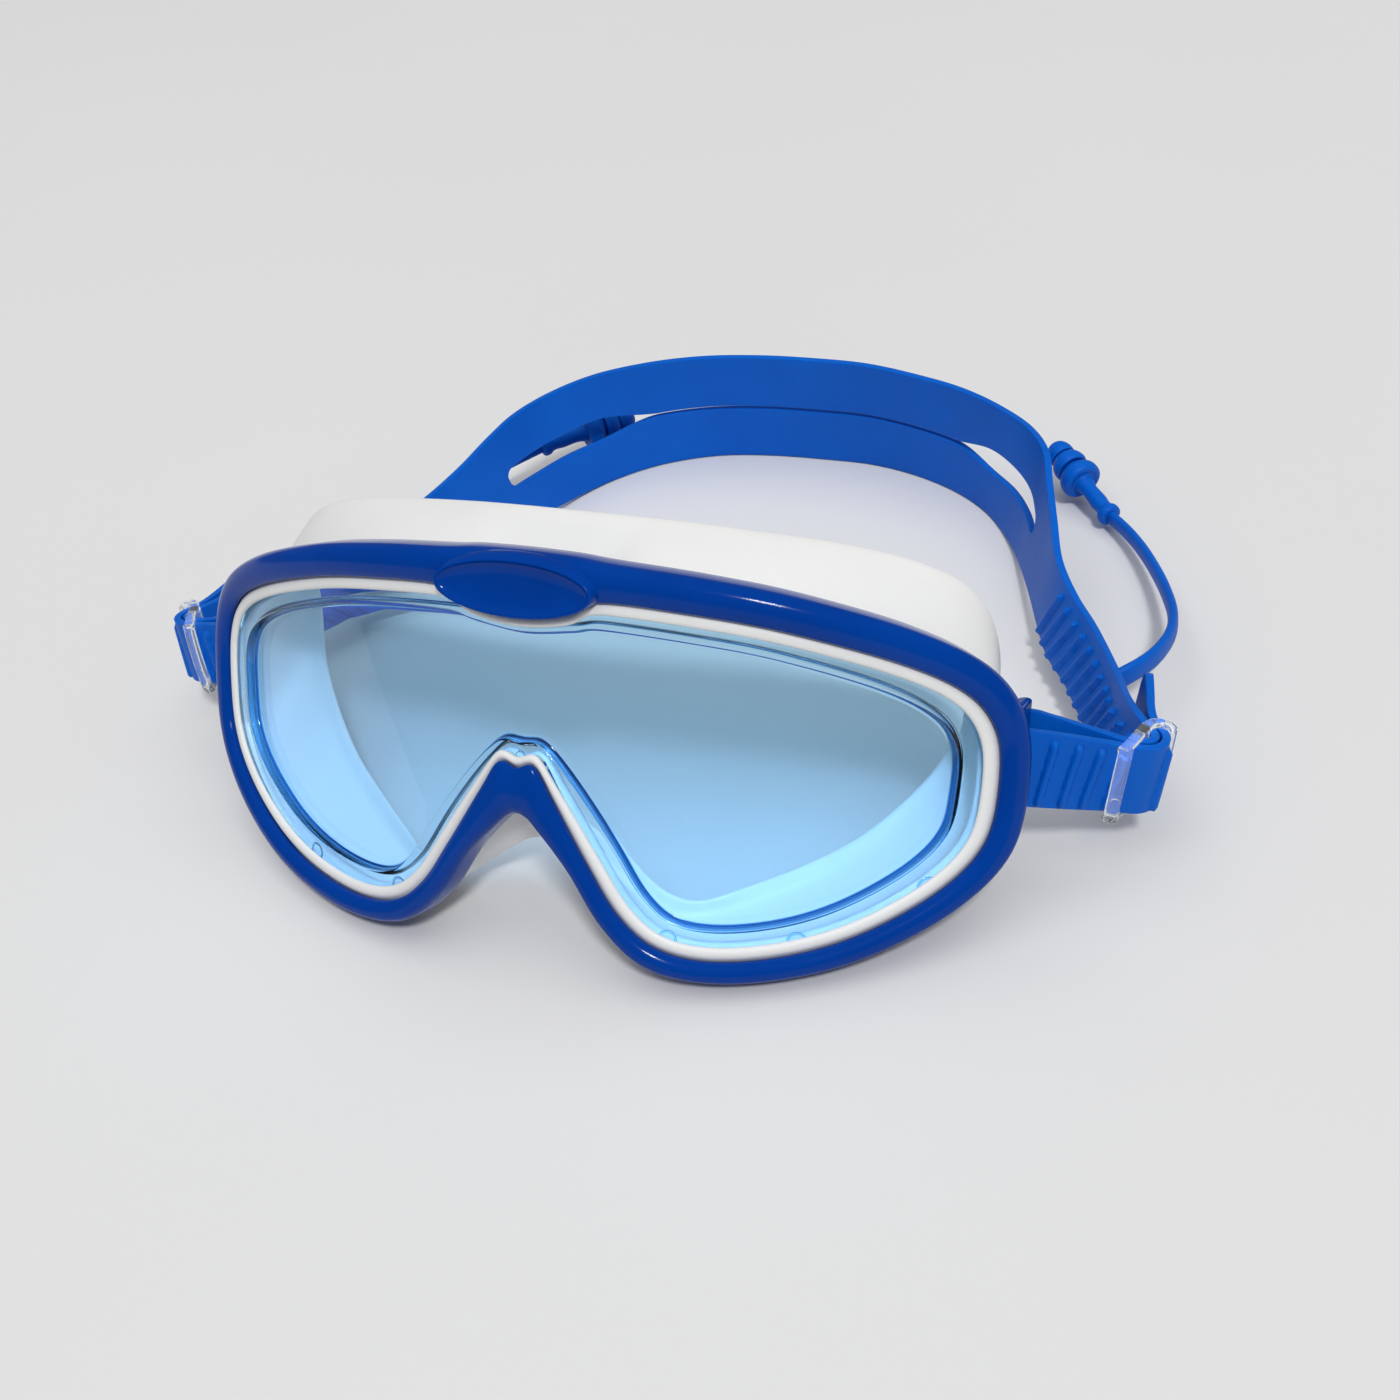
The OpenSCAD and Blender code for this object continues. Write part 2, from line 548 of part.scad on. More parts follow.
frame();
lens();
skirt();
head_strap();
strap_end_right();
strap_end_left();
buckle_right();
buckle_left();
plug_cord_right();
plug_cord_left();
ear_plug_right();
ear_plug_left();
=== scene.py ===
import math

import bmesh
import bpy
import numpy as np
from mathutils import Matrix, Vector
from mathutils.geometry import delaunay_2d_cdt


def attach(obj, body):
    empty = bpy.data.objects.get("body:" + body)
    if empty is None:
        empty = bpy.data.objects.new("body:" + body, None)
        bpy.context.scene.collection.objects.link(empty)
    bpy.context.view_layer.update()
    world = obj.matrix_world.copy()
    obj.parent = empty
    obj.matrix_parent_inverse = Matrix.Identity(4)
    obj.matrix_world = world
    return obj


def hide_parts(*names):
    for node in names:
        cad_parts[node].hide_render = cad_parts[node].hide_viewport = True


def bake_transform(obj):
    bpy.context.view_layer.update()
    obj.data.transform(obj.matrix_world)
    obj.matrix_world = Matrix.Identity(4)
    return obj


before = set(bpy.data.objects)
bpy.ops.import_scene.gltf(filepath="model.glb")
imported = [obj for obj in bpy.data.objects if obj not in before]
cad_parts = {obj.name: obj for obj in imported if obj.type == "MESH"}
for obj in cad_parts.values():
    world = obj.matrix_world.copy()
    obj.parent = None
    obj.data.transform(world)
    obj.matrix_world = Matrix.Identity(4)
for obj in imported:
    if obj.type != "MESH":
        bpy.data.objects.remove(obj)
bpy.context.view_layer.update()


# Frame: the rigid rim of the mask, one glossy injection moulding in blue plastic
# with a bare dished oval over the nose and a strap lug at each side.
# It snaps round the soft skirt from the front and carries everything else.
# The mask is bent round an upright line behind it, leans back and stands on its edge
bend_radius = 120.0
lean = math.radians(26)
mask_height = 6.55
mask_front = -79.65
# Half outline from top centre to nose centre: lens opening x, z, frame outside
# x, z, face rim x, z, depth, and how far in the step down to the pane lies
half_outline = [
    [0, 53.3, 0, 63.5, 0, 67.2, 21, 2.6],
    [8.4, 54.4, 8.4, 63.3, 10, 67.1, 21.5, 2.8],
    [13.5, 56.9, 14, 62.8, 19, 66.8, 22.6, 4.6],
    [27.5, 56.2, 28.3, 61.6, 30, 66, 25, 4.8],
    [41, 54.3, 42.5, 59.4, 42, 64.8, 28.5, 4.8],
    [56, 50.3, 58.2, 55, 53.6, 62.4, 32.4, 5],
    [65.5, 45.6, 68.8, 49.3, 61.6, 58, 36.8, 5.4],
    [70, 39.4, 74, 41.5, 65.6, 50, 39.6, 5.4],
    [71, 31, 75.2, 31.5, 66, 40, 40.5, 5.4],
    [69.7, 21.4, 73.6, 19.8, 64, 30, 39, 5.4],
    [64.2, 14, 67, 11, 58.6, 21.5, 36, 5.2],
    [54, 7.1, 55.9, 3.6, 50.5, 13.2, 31.5, 5],
    [43.5, 3.1, 44.5, -0.6, 41.5, 7.6, 27, 4.8],
    [32, 1.3, 32, -2.4, 31.5, 3.6, 21.5, 4.8],
    [23.5, 2.7, 21.8, -0.8, 23, 2, 17.5, 4.8],
    [17.4, 7.4, 14.6, 5.2, 16.5, 4.4, 16, 5],
    [12, 15.5, 8.9, 13.6, 11, 8.4, 15.5, 5],
    [6.2, 25, 3.4, 19.6, 6, 12, 15, 4.3],
    [3, 29.9, 1.4, 21.2, 3, 13.2, 14.7, 3.3],
    [0, 29.3, 0, 21.6, 0, 13.6, 14.5, 4],
]


def between(a, b, c, d, t):
    """A place on the smooth run from b to c, guided by their neighbours a and d."""
    return 0.5 * (
        2 * b
        + (c - a) * t
        + (2 * a - 5 * b + 4 * c - d) * t**2
        + (3 * b - a - 3 * c + d) * t**3
    )


def mask_outline(parts):
    """The whole outline, smoothed, as a dict of arrays with one row per place."""
    half = np.array(half_outline, float)
    other = half[-2:0:-1] * np.array([-1, 1, -1, 1, -1, 1, 1, 1])
    p = np.concatenate([half, other])
    a, b, c, d = (np.roll(p, k, 0) for k in (1, 0, -1, -2))
    rows = np.stack([between(a, b, c, d, t) for t in np.arange(parts) / parts], 1)
    rows = rows.reshape(-1, 8)
    out = rows[:, 2:4] - rows[:, 0:2]
    return {
        "open": rows[:, 0:2],
        "wide": out,
        "out": out / np.linalg.norm(out, axis=1)[:, None],
        "rim": rows[:, 4:7],
        "inset": rows[:, 7],
    }


def bent(flat, back):
    """A place on the flat outline, bent round the mask and moved back."""
    x = flat[:, 0] / bend_radius
    r = bend_radius - back
    return np.stack([r * x, bend_radius - r * np.sqrt(1 - x**2), flat[:, 1]], 1)


def section_rings(o, rows):
    """Rings round the mask, from how far out, share of the rim's width and depth."""
    return [
        bent(o["open"] + o["out"] * out + o["wide"] * share, back)
        for out, share, back in rows
    ]


def stand_up(p):
    """From the mask's own upright frame, in millimetres, to where it leans, in metres."""
    p = np.asarray(p, float)
    y = p[..., 1] * math.cos(lean) + p[..., 2] * math.sin(lean) + mask_front
    z = p[..., 2] * math.cos(lean) - p[..., 1] * math.sin(lean) + mask_height
    return np.stack([p[..., 0], y, z], -1) / 1000


def rounded(points, parts):
    """A smooth run through section points, each an array over the whole outline."""
    made = []
    for i in range(len(points) - 1):
        near = [points[min(max(i + k, 0), len(points) - 1)] for k in (-1, 0, 1, 2)]
        made += [between(*near, t) for t in np.arange(parts) / parts]
    return made + [points[-1]]


def face_outwards(mesh):
    """Turns all faces of a mesh outwards."""
    form = bmesh.new()
    form.from_mesh(mesh)
    bmesh.ops.recalc_face_normals(form, faces=form.faces)
    form.to_mesh(mesh)
    form.free()


def smooth_to(mesh, crease):
    """Smooth shading, with edges kept sharp that turn by more than the crease."""
    mesh.shade_smooth()
    mesh.set_sharp_from_angle(angle=math.radians(crease))


def put(name, data):
    """A new object in the scene for a mesh, a lamp or a camera."""
    made = bpy.data.objects.new(name, data)
    bpy.context.scene.collection.objects.link(made)
    return made


def piece_of(name, points, faces, crease):
    """A new piece from its points and faces."""
    mesh = bpy.data.meshes.new(name)
    mesh.from_pydata([tuple(p) for p in points], [], [tuple(f) for f in faces])
    face_outwards(mesh)
    smooth_to(mesh, crease)
    return put(name, mesh)


def tube_faces(n, m, first=0, closed=True):
    """Quads of a tube of n sections of m points, back to its start if closed."""
    return [
        (
            first + i * m + j,
            first + i * m + (j + 1) % m,
            first + (i + 1) % n * m + (j + 1) % m,
            first + (i + 1) % n * m + j,
        )
        for i in range(n if closed else n - 1)
        for j in range(m)
    ]


def hoop(name, line, section, crease):
    """A piece with one section all round the mask."""
    points = stand_up(np.stack(section, 1)).reshape(-1, 3)
    return piece_of(name, points, tube_faces(len(line["open"]), len(section)), crease)


def stacked(name, rings, crease=50):
    """A closed solid of rings stacked on each other, with both ends filled."""
    n, m = len(rings), len(rings[0])
    faces = tube_faces(n, m, closed=False)
    faces += [tuple(range(m)), tuple(range((n - 1) * m, n * m))]
    return piece_of(name, np.concatenate(rings), faces, crease)


def settle(made, crease):
    """Applies the modifiers of a piece to its mesh."""
    shown = made.evaluated_get(bpy.context.evaluated_depsgraph_get())
    mesh = bpy.data.meshes.new_from_object(shown)
    made.modifiers.clear()
    made.data = mesh
    smooth_to(mesh, crease)


def join_solids(made, others, how):
    """Adds other solids to a piece, or cuts them out of it, and uses them up."""
    for other in others:
        step = made.modifiers.new("join", "BOOLEAN")
        step.operation = how
        step.object = other
        step.solver = "EXACT"
    settle(made, crease=38)
    for other in others:
        bpy.data.objects.remove(other)


# The oval plate's half width, half height and middle, up the mask
oval_wide, oval_high, oval_middle = 13.4, 4.5, 58


def oval_solid(name, rows, n=96):
    """A solid of ovals, each with shares of the plate's size, its depth and its lift."""
    a = np.arange(n) * 2 * math.pi / n
    rings = []
    for wide, high, deep, up in rows:
        x = oval_wide * wide * np.cos(a)
        z = oval_middle + up + oval_high * high * np.sin(a)
        rings.append(stand_up(np.stack([x, np.full(n, float(deep)), z], 1)))
    return stacked(name, rings)


rim_line = mask_outline(8)
# The rim's section, front and rear: how far out from the opening, share of the rim's
# width, and depth
rim_front = [
    (0, 0, 0.55),
    (0.05, 0, -0.35),
    (0, 0.22, -1.04),
    (0, 0.5, -1.3),
    (0, 0.8, -0.85),
    (0, 0.96, 0.3),
    (0, 1, 1.7),
]
rim_rear = [
    (0, 1, 3.4),
    (0, 1, 4.9),
    (0, 0.98, 5.5),
    (0, 0.9, 5.9),
    (2.2, 0, 5.9),
    (2.2, 0, 3.5),
    (2.2, 0, 1.65),
    (0.9, 0, 1.3),
]
rim_section = rounded(section_rings(rim_line, rim_front), 5)
rim_section += section_rings(rim_line, rim_rear)
mask_rim = hoop("frame_rim", rim_line, rim_section, crease=40)
plate = oval_solid(
    "plate",
    [
        (1.04, 1.1, 0.6, 0.5),
        (1.03, 1.1, -0.4, 0.45),
        (1.01, 1.06, -1.3, 0.25),
        (1, 1.01, -1.8, 0.03),
        (0.994, 0.985, -2, 0),
        (0.975, 0.95, -2.1, 0),
    ],
)
bowl = oval_solid(
    "bowl",
    [
        (0.98, 0.96, -4, 0),
        (0.965, 0.925, -2.08, 0),
        (0.95, 0.89, -1.85, 0),
        (0.9, 0.8, -1.5, 0),
        (0.78, 0.66, -1.2, 0),
        (0.55, 0.45, -1.02, 0),
        (0.25, 0.2, -0.95, 0),
        (0.05, 0.04, -0.93, 0),
    ],
)
# Each lug is a flat bar between two ears, here with the places of their ends up the mask
lug_at = (71.07, 35.98, 32.5)
bar_straight, bar_round, bar_ends = 1.6, 0.87, (23.6, 40.5)
ear_ends = ((22.8, 24.6), (39.5, 41.3))
ear_line = [(-0.9, -9.2), (0.5, -8.6), (0.9, -6), (0.9, 1.6), (0.5, 2.3)]
ear_line += [(-0.5, 2.4), (-1.3, 1.4), (-1.4, -1), (-1.4, -4.6), (-1.5, -7)]
bar_line = [
    (
        bar_round * math.cos(a),
        bar_round * math.sin(a),
        bar_straight if math.sin(a) >= -1e-9 else -bar_straight,
    )
    for a in np.radians(np.arange(0, 360, 15))
]
lugs = []
for side in (1, -1):
    ear = [(side * (lug_at[0] + x), lug_at[1] + y) for x, y in ear_line]
    bar = [(side * (lug_at[0] + x), lug_at[1] + y + off) for x, y, off in bar_line]
    for name, outline, ends in (
        ("ear", ear, ear_ends[0]),
        ("ear", ear, ear_ends[1]),
        ("lug_bar", bar, bar_ends),
    ):
        lugs.append(stacked(name, [stand_up([(*q, z) for q in outline]) for z in ends]))
for lug in lugs:
    soft_edge = lug.modifiers.new("soft_edge", "BEVEL")
    soft_edge.width = 0.00035
    soft_edge.segments = 3
    soft_edge.limit_method = "ANGLE"
    soft_edge.angle_limit = math.radians(40)
    settle(lug, crease=38)
join_solids(mask_rim, [plate], "UNION")
join_solids(mask_rim, [bowl], "DIFFERENCE")
join_solids(mask_rim, lugs, "UNION")


def moulded(name, dark, light, patch, shine, grain, depth, **sockets):
    """A moulded plastic or rubber: cloudy colour, uneven shine and a fine skin."""
    mat = bpy.data.materials.new(name)
    mat.use_nodes = True
    nodes, links = mat.node_tree.nodes, mat.node_tree.links
    skin = nodes["Principled BSDF"]
    where = nodes.new("ShaderNodeTexCoord").outputs["Object"]
    cloud = nodes.new("ShaderNodeTexNoise")
    cloud.inputs["Scale"].default_value = patch
    cloud.inputs["Detail"].default_value = 4
    links.new(where, cloud.inputs["Vector"])
    tone = nodes.new("ShaderNodeValToRGB")
    tone.color_ramp.elements[0].position = 0.3
    tone.color_ramp.elements[0].color = (*dark, 1)
    tone.color_ramp.elements[1].position = 0.7
    tone.color_ramp.elements[1].color = (*light, 1)
    links.new(cloud.outputs["Fac"], tone.inputs["Fac"])
    links.new(tone.outputs["Color"], skin.inputs["Base Color"])
    fine = nodes.new("ShaderNodeTexNoise")
    fine.inputs["Scale"].default_value = grain
    fine.inputs["Detail"].default_value = 3
    links.new(where, fine.inputs["Vector"])
    gloss = nodes.new("ShaderNodeMapRange")
    gloss.inputs["To Min"].default_value = shine[0]
    gloss.inputs["To Max"].default_value = shine[1]
    links.new(fine.outputs["Fac"], gloss.inputs["Value"])
    links.new(gloss.outputs["Result"], skin.inputs["Roughness"])
    relief = nodes.new("ShaderNodeBump")
    relief.inputs["Strength"].default_value = depth
    relief.inputs["Distance"].default_value = 0.0002
    links.new(fine.outputs["Fac"], relief.inputs["Height"])
    links.new(relief.outputs["Normal"], skin.inputs["Normal"])
    for socket, value in sockets.items():
        skin.inputs[socket.replace("_", " ")].default_value = value
    return mat


mask_rim.data.materials.append(
    moulded(
        "glossy_blue_plastic",
        dark=(0, 0.037, 0.27),
        light=(0, 0.045, 0.31),
        patch=60,
        shine=(0.08, 0.15),
        grain=900,
        depth=0.03,
        Specular_IOR_Level=0.12,
    )
)
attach(mask_rim, "mask")
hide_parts("frame")


# Lens: one clear sheet tinted pale blue, injection moulded to the mask's bend, with
# the pane a step back from a ledge that shows the marks of the ejector pins.
# Its edge sits in the skirt's groove.
sheet_line = mask_outline(6)
count = len(sheet_line["open"])
ledge_front, ledge_rear = 1.35, 3.35
pane_front, pane_rear = 3.05, 5.05
edge_in = np.full(count, 1.1)
inset = sheet_line["inset"]
# Down the step from ledge to pane: how far in from its top, and the depth
front_step = [
    (-0.35, ledge_front),
    (-0.1, 1.42),
    (0, 1.6),
    (0.14, 2.6),
    (0.24, 2.9),
    (0.46, 3.02),
    (0.85, pane_front),
]
rear_step = [
    (-0.3, ledge_rear),
    (-0.08, 3.42),
    (0, 3.6),
    (0.06, 4.7),
    (0.16, 4.96),
    (0.4, pane_rear),
    (0.9, pane_rear),
]


def sheet_ring(inward, back):
    """A ring of the sheet, so far in from the mask's opening and so deep."""
    return bent(sheet_line["open"] - sheet_line["out"] * inward[:, None], back)


def sheet_side(ledge, middle, step_at, step_rows):
    """Rings of one side of the sheet, from its edge to the pane."""
    half_way = (edge_in + inset) / 2 - middle
    rings = [sheet_ring(edge_in, ledge), sheet_ring(half_way, ledge)]
    return rings + [sheet_ring(step_at + x, back) for x, back in step_rows]


def filled(ring, back, step=2.4):
    """Points and triangles that fill a bent outline, close to evenly."""
    line = ring[:, [0, 2]] * np.array([bend_radius / (bend_radius - back), 1])
    n = len(line)
    keep_off, inside_only = 0.6 * step, 1
    inner = []
    for x in np.arange(line[:, 0].min(), line[:, 0].max(), step):
        for z in np.arange(line[:, 1].min(), line[:, 1].max(), step):
            ahead = np.roll(line, -1, 0)
            cross = (line[:, 1] > z) != (ahead[:, 1] > z)
            rise = np.where(cross, ahead[:, 1] - line[:, 1], 1)
            at = line[:, 0] + (z - line[:, 1]) / rise * (ahead[:, 0] - line[:, 0])
            if np.sum(cross & (x < at)) % 2:
                if np.min(np.hypot(line[:, 0] - x, line[:, 1] - z)) > keep_off:
                    inner.append((x, z))
    flat = [Vector(p) for p in [*line, *inner]]
    sides = [(i, (i + 1) % n) for i in range(n)]
    found = delaunay_2d_cdt(flat, sides, [list(range(n))], inside_only, 1e-6)
    return bent(np.array([tuple(p) for p in found[0]]), back), found[2]


front_rings = sheet_side(ledge_front, middle=0.2, step_at=inset, step_rows=front_step)
rear_rings = sheet_side(ledge_rear, middle=0.6, step_at=inset - 1, step_rows=rear_step)
points = np.concatenate(front_rings[::-1] + rear_rings)
faces = tube_faces(len(front_rings) + len(rear_rings), count, closed=False)
for ring, back in ((front_rings[-1], pane_front), (rear_rings[-1], pane_rear)):
    more, triangles = filled(ring, back)
    faces += [tuple(len(points) + k for k in t) for t in triangles]
    points = np.concatenate([points, more])
# The ejector pins leave low round marks on the ledge: place across and up, and radius,
# then the section of a mark as shares of the radius and depths
pin_marks = [(62.7, 14.4, 1.35), (44.6, 5.2, 1.35), (25.1, 4.1, 1.35)]
pin_marks += [(-43.7, 5.7, 1.35), (-23.6, 4.8, 1.35), (0.2, 31, 0.8)]
mark_section = [(1.14, 1.3), (1.02, 1.17), (0.92, 1.17), (0.8, 1.3), (0.97, 1.42)]
mark_sides = 24
mark_turn = np.arange(mark_sides) * 2 * math.pi / mark_sides
for x, z, r in pin_marks:
    faces += tube_faces(len(mark_section), mark_sides, first=len(points))
    for k, back in mark_section:
        spot = [x + r * k * np.cos(mark_turn), z + r * k * np.sin(mark_turn)]
        points = np.concatenate([points, bent(np.stack(spot, 1), back)])
lens = piece_of("lens_pane", stand_up(points), faces, crease=60)
# the bands of faces, counted from the pane's front, that are the walls of the step
step_walls = (1, 2, 3, 4, 12, 13, 14, 15)
for i in step_walls:
    for j in range(count):
        lens.data.polygons[i * count + j].material_index = 1
weld = lens.modifiers.new("weld", "WELD")
weld.merge_threshold = 0.00001


def clear_plastic(name, tint, deep, shade, scratches, roughness, clarity=1):
    """Clear moulded plastic: a cloudy tint, fine scratches, and a shadow of its colour."""
    mat = bpy.data.materials.new(name)
    mat.use_nodes = True
    nodes, links = mat.node_tree.nodes, mat.node_tree.links
    skin = nodes["Principled BSDF"]
    skin.inputs["Transmission Weight"].default_value = clarity
    skin.inputs["IOR"].default_value = 1.49
    where = nodes.new("ShaderNodeTexCoord").outputs["Object"]
    cloud = nodes.new("ShaderNodeTexNoise")
    cloud.inputs["Scale"].default_value = 40
    links.new(where, cloud.inputs["Vector"])
    tone = nodes.new("ShaderNodeValToRGB")
    tone.color_ramp.elements[0].color = (*deep, 1)
    tone.color_ramp.elements[1].color = (*tint, 1)
    links.new(cloud.outputs["Fac"], tone.inputs["Fac"])
    links.new(tone.outputs["Color"], skin.inputs["Base Color"])
    lie = nodes.new("ShaderNodeMapping")
    lie.inputs["Rotation"].default_value = (0.3, 0.2, 0.7)
    lie.inputs["Scale"].default_value = (900, 60, 900)
    links.new(where, lie.inputs["Vector"])
    hair = nodes.new("ShaderNodeTexNoise")
    hair.inputs["Scale"].default_value = 1
    hair.inputs["Detail"].default_value = 2
    links.new(lie.outputs["Vector"], hair.inputs["Vector"])
    line = nodes.new("ShaderNodeMapRange")
    line.inputs["From Min"].default_value = 0.72
    line.inputs["From Max"].default_value = 0.8
    line.inputs["To Min"].default_value = roughness
    line.inputs["To Max"].default_value = roughness + scratches
    links.new(hair.outputs["Fac"], line.inputs["Value"])
    links.new(line.outputs["Result"], skin.inputs["Roughness"])
    through = nodes.new("ShaderNodeBsdfTransparent")
    through.inputs["Color"].default_value = (*shade, 1)
    ray = nodes.new("ShaderNodeLightPath")
    either = nodes.new("ShaderNodeMixShader")
    links.new(ray.outputs["Is Shadow Ray"], either.inputs["Fac"])
    links.new(skin.outputs["BSDF"], either.inputs[1])
    links.new(through.outputs["BSDF"], either.inputs[2])
    links.new(either.outputs["Shader"], nodes["Material Output"].inputs["Surface"])
    return mat


# the walls of the step get a painted deeper blue, as painted shade: they are looked at along the
# sheet, so they show its colour deeper
pane_shade = (0.76, 0.75, 0.83)
for name, tint, deep in (
    ("pale_blue_lens", (0.47, 0.75, 0.95), (0.44, 0.73, 0.93)),
    ("lens_step_wall", (0.015, 0.16, 0.56), (0.012, 0.14, 0.52)),
):
    mat = clear_plastic(name, tint, deep, pane_shade, scratches=0.15, roughness=0.012)
    lens.data.materials.append(mat)
settle(lens, crease=60)
face_outwards(lens.data)
smooth_to(lens.data, crease=60)
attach(lens, "mask")
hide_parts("lens")


# Skirt: the soft seal, one white silicone moulding. A bead grips the lens from the
# front, a wall runs back under the frame, and a thin lip turns in against the face.
# Its rear edge keeps a little of the moulding flash.
soft_line = mask_outline(4)
# The bead is narrower over the nose and beside the oval, and full away from them
off_centre, up_mask = np.abs(soft_line["open"][:, :1]), soft_line["open"][:, 1:]
half_way_up, nose_reach, oval_reach = 40, 14, 16
over_nose = (up_mask < half_way_up) * (1 - off_centre / nose_reach).clip(0)
by_oval = (up_mask > half_way_up) * (1 - off_centre / oval_reach).clip(0)
eased = over_nose + by_oval.clip(0, 0.5) * 2
bead_and_wall = [
    (0.6 * eased - 2.2, 0, 1.2),
    (0.6 * eased - 2.25, 0, 0.7),
    (0.55 * eased - 2, 0, 0.3),
    (0.3 * eased - 1.3, 0, 0.12),
    (-0.4, 0, 0.3),
    (0.4, 0, 1.3),
    (1.3, 0, 1.75),
    (1.9, 0, 2),
    (1.9, 0, 5.2),
    (1.95, 0, 6.6),
]
inside_and_groove = [
    (0.1, 0, 7.6),
    (-0.6, 0, 6.4),
    (0.6 * eased - 2.1, 0, 4.9),
    (0.6 * eased - 2.2, 0, 3.6),
    (-0.2, 0, 3.55),
    (-0.2, 0, 1.15),
]
along_rim = np.arange(len(soft_line["rim"]))
flash = 0.1 * np.sin(2.9 * along_rim) * np.sin(0.37 * along_rim)
flash = flash + 0.07 * np.sin(1.7 * along_rim + 0.5)
# The lip, from its outer edge: how far in from the face rim, and how far behind it
lip = [
    (0.1, -1),
    (0.05, flash - 0.2),
    (0.45, flash + 0.1),
    (2.6, -0.1),
    (5, -0.6),
    (5.2, -1.1),
    (4.8, -1.7),
    (3, -2),
    (1.7, -2.8),
]


def lip_ring(inward, back):
    """A ring of the lip, so far in from the face rim and so far behind it."""
    p = np.zeros((len(soft_line["rim"]), 3))
    p[:, 0] = soft_line["rim"][:, 0] - soft_line["out"][:, 0] * inward
    p[:, 2] = soft_line["rim"][:, 1] - soft_line["out"][:, 1] * inward
    p[:, 1] = soft_line["rim"][:, 2] + back
    return p


def swollen(first, last, shares, swell=1.6):
    """Rings between two others that swell outwards half way."""
    outward = np.zeros(first.shape)
    outward[:, [0, 2]] = soft_line["out"]
    return [first + (last - first) * t + outward * swell * t * (1 - t) for t in shares]


wall = section_rings(soft_line, bead_and_wall)
seal = [lip_ring(*q) for q in lip]
inside = section_rings(soft_line, inside_and_groove)
skirt_section = wall + swollen(wall[-1], seal[0], (0.25, 0.5, 0.75)) + seal
skirt_section += swollen(seal[-1], inside[0], (0.33, 0.67)) + inside
skirt = hoop("face_skirt", soft_line, skirt_section, crease=180)
finer = skirt.modifiers.new("finer", "SUBSURF")
finer.levels = finer.render_levels = 2
settle(skirt, crease=180)
skirt.data.materials.append(
    moulded(
        "white_silicone",
        dark=(0.77, 0.77, 0.76),
        light=(0.81, 0.81, 0.8),
        patch=45,
        shine=(0.42, 0.55),
        grain=1400,
        depth=0.12,
        Subsurface_Weight=0.12,
        Subsurface_Radius=(0.004, 0.004, 0.0036),
        Subsurface_Scale=1,
    )
)
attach(skirt, "mask")
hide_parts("skirt")


# Head strap: one long blue silicone moulding. It splits into two bands at the back,
# carries grip ribs near its ends, and each end runs over the buckle's middle bar,
# round the lug on the frame and back through the buckle to a free tail.
strap_thick = 1.3
strap_wide = 12.6
# Radius of the strap's middle on its first and second pass over the middle bar, and
# round the lug, and how far before the middle bar both passes lie flat
inner_r, outer_r, loop_r, flat_from = 1.9, 3.65, 1.9, 3.2
# The free tail: its length, where it bends away and to which angle, how far it rises,
# then shares of its length with the share of the full width it has there
tail_long, tail_bends_at, tail_angle, tail_rise = 19, 4.2, 87, 0.8
tail_widths = [(0.17, 1), (0.33, 1), (0.55, 1), (0.78, 1)]
tail_widths += [(0.89, 0.95), (0.95, 0.82), (0.985, 0.6), (1, 0.36)]
# Where each buckle's middle bar lies, right then left with x counted outwards, how it
# is turned, which way the strap leaves it and how far it then runs straight
buckle_places = [
    ((88.16, 52.3, 15.67), (-5.8, 10.8, 14.1), 112, 4),
    ((88.32, 49.33, 17.2), (-8.8, 5.4, 3.6), 108, 7.2),
]
# From the back centre to the right end: lower edge, upper edge, gap between the bands
right_rows = [
    [0, 157.6, 0.05, 0, 156.8, 25, 0.8],
    [12, 157, 0.05, 12, 156, 25, 0.8],
    [23.5, 153.8, 0.05, 24, 152.8, 25, 0.8],
    [33.6, 148.6, 0.05, 35, 148.6, 25, 1],
    [41, 142.5, 0.1, 44, 143, 25, 5.2],
    [46.5, 135.3, 0.4, 52, 136, 25, 5.2],
    [50.8, 127.5, 1.2, 57, 128, 25, 5.2],
    [54.2, 119.5, 2.8, 59.8, 118.8, 24, 4.6],
    [58.2, 109.3, 4.4, 62.7, 109.3, 22, 4.6],
    [61.9, 99.6, 5, 65.7, 99.9, 20, 0],
    [65.9, 90, 5.5, 70.2, 91.8, 18.5, 0],
    [70.8, 82.2, 5.8, 74.8, 85, 17.8, 0],
    [74.2, 75.7, 6, 78.3, 78.7, 17.7, 0],
    [77.4, 69.1, 6.6, 81.6, 72, 18.1, 0],
    [80.7, 60.7, 8.4, 84.9, 63.7, 20, 0],
]
# The left side spreads wider at the back and lies the same after these rows
left_rows = [
    [12, 157.4, 0.05, 12, 156.6, 25, 0.8],
    [24.5, 155.4, 0.05, 24.5, 154.8, 25, 0.8],
    [36.2, 149.8, 0.05, 36.4, 150.4, 25, 1],
    [44.4, 142.2, 0.1, 46.6, 143.6, 25, 5.2],
    [49.2, 134.8, 0.4, 53.2, 134.8, 25, 5.2],
    [52.2, 127.4, 1.2, 56.8, 126, 25, 5.2],
    [54.6, 119.5, 2.8, 58.8, 118, 24.2, 4.6],
    [58, 109.3, 4.4, 61.6, 108.8, 22.2, 4.6],
    *right_rows[9:14],
    [82.6, 60.9, 8.3, 86.2, 63.5, 20.1, 0],
]


def turned(angles):
    x, y, z = (math.radians(a) for a in angles)
    turn = Matrix.Rotation(z, 3, "Z") @ Matrix.Rotation(y, 3, "Y") @ Matrix.Rotation(x, 3, "X")
    return np.array(turn)


def arc(r, first, last, n, centre=0):
    """Points on an arc between two angles, with its centre moved along y."""
    a = np.radians(np.linspace(first, last, n + 1))
    return [(r * math.cos(k), centre + r * math.sin(k)) for k in a]


def heading(angle):
    return np.array(arc(1, angle, angle, 0)[0])


def part_way(a, b, n):
    """The places that cut the way from a to b into n, without its ends."""
    return [a + (b - a) * k / n for k in range(1, n)]


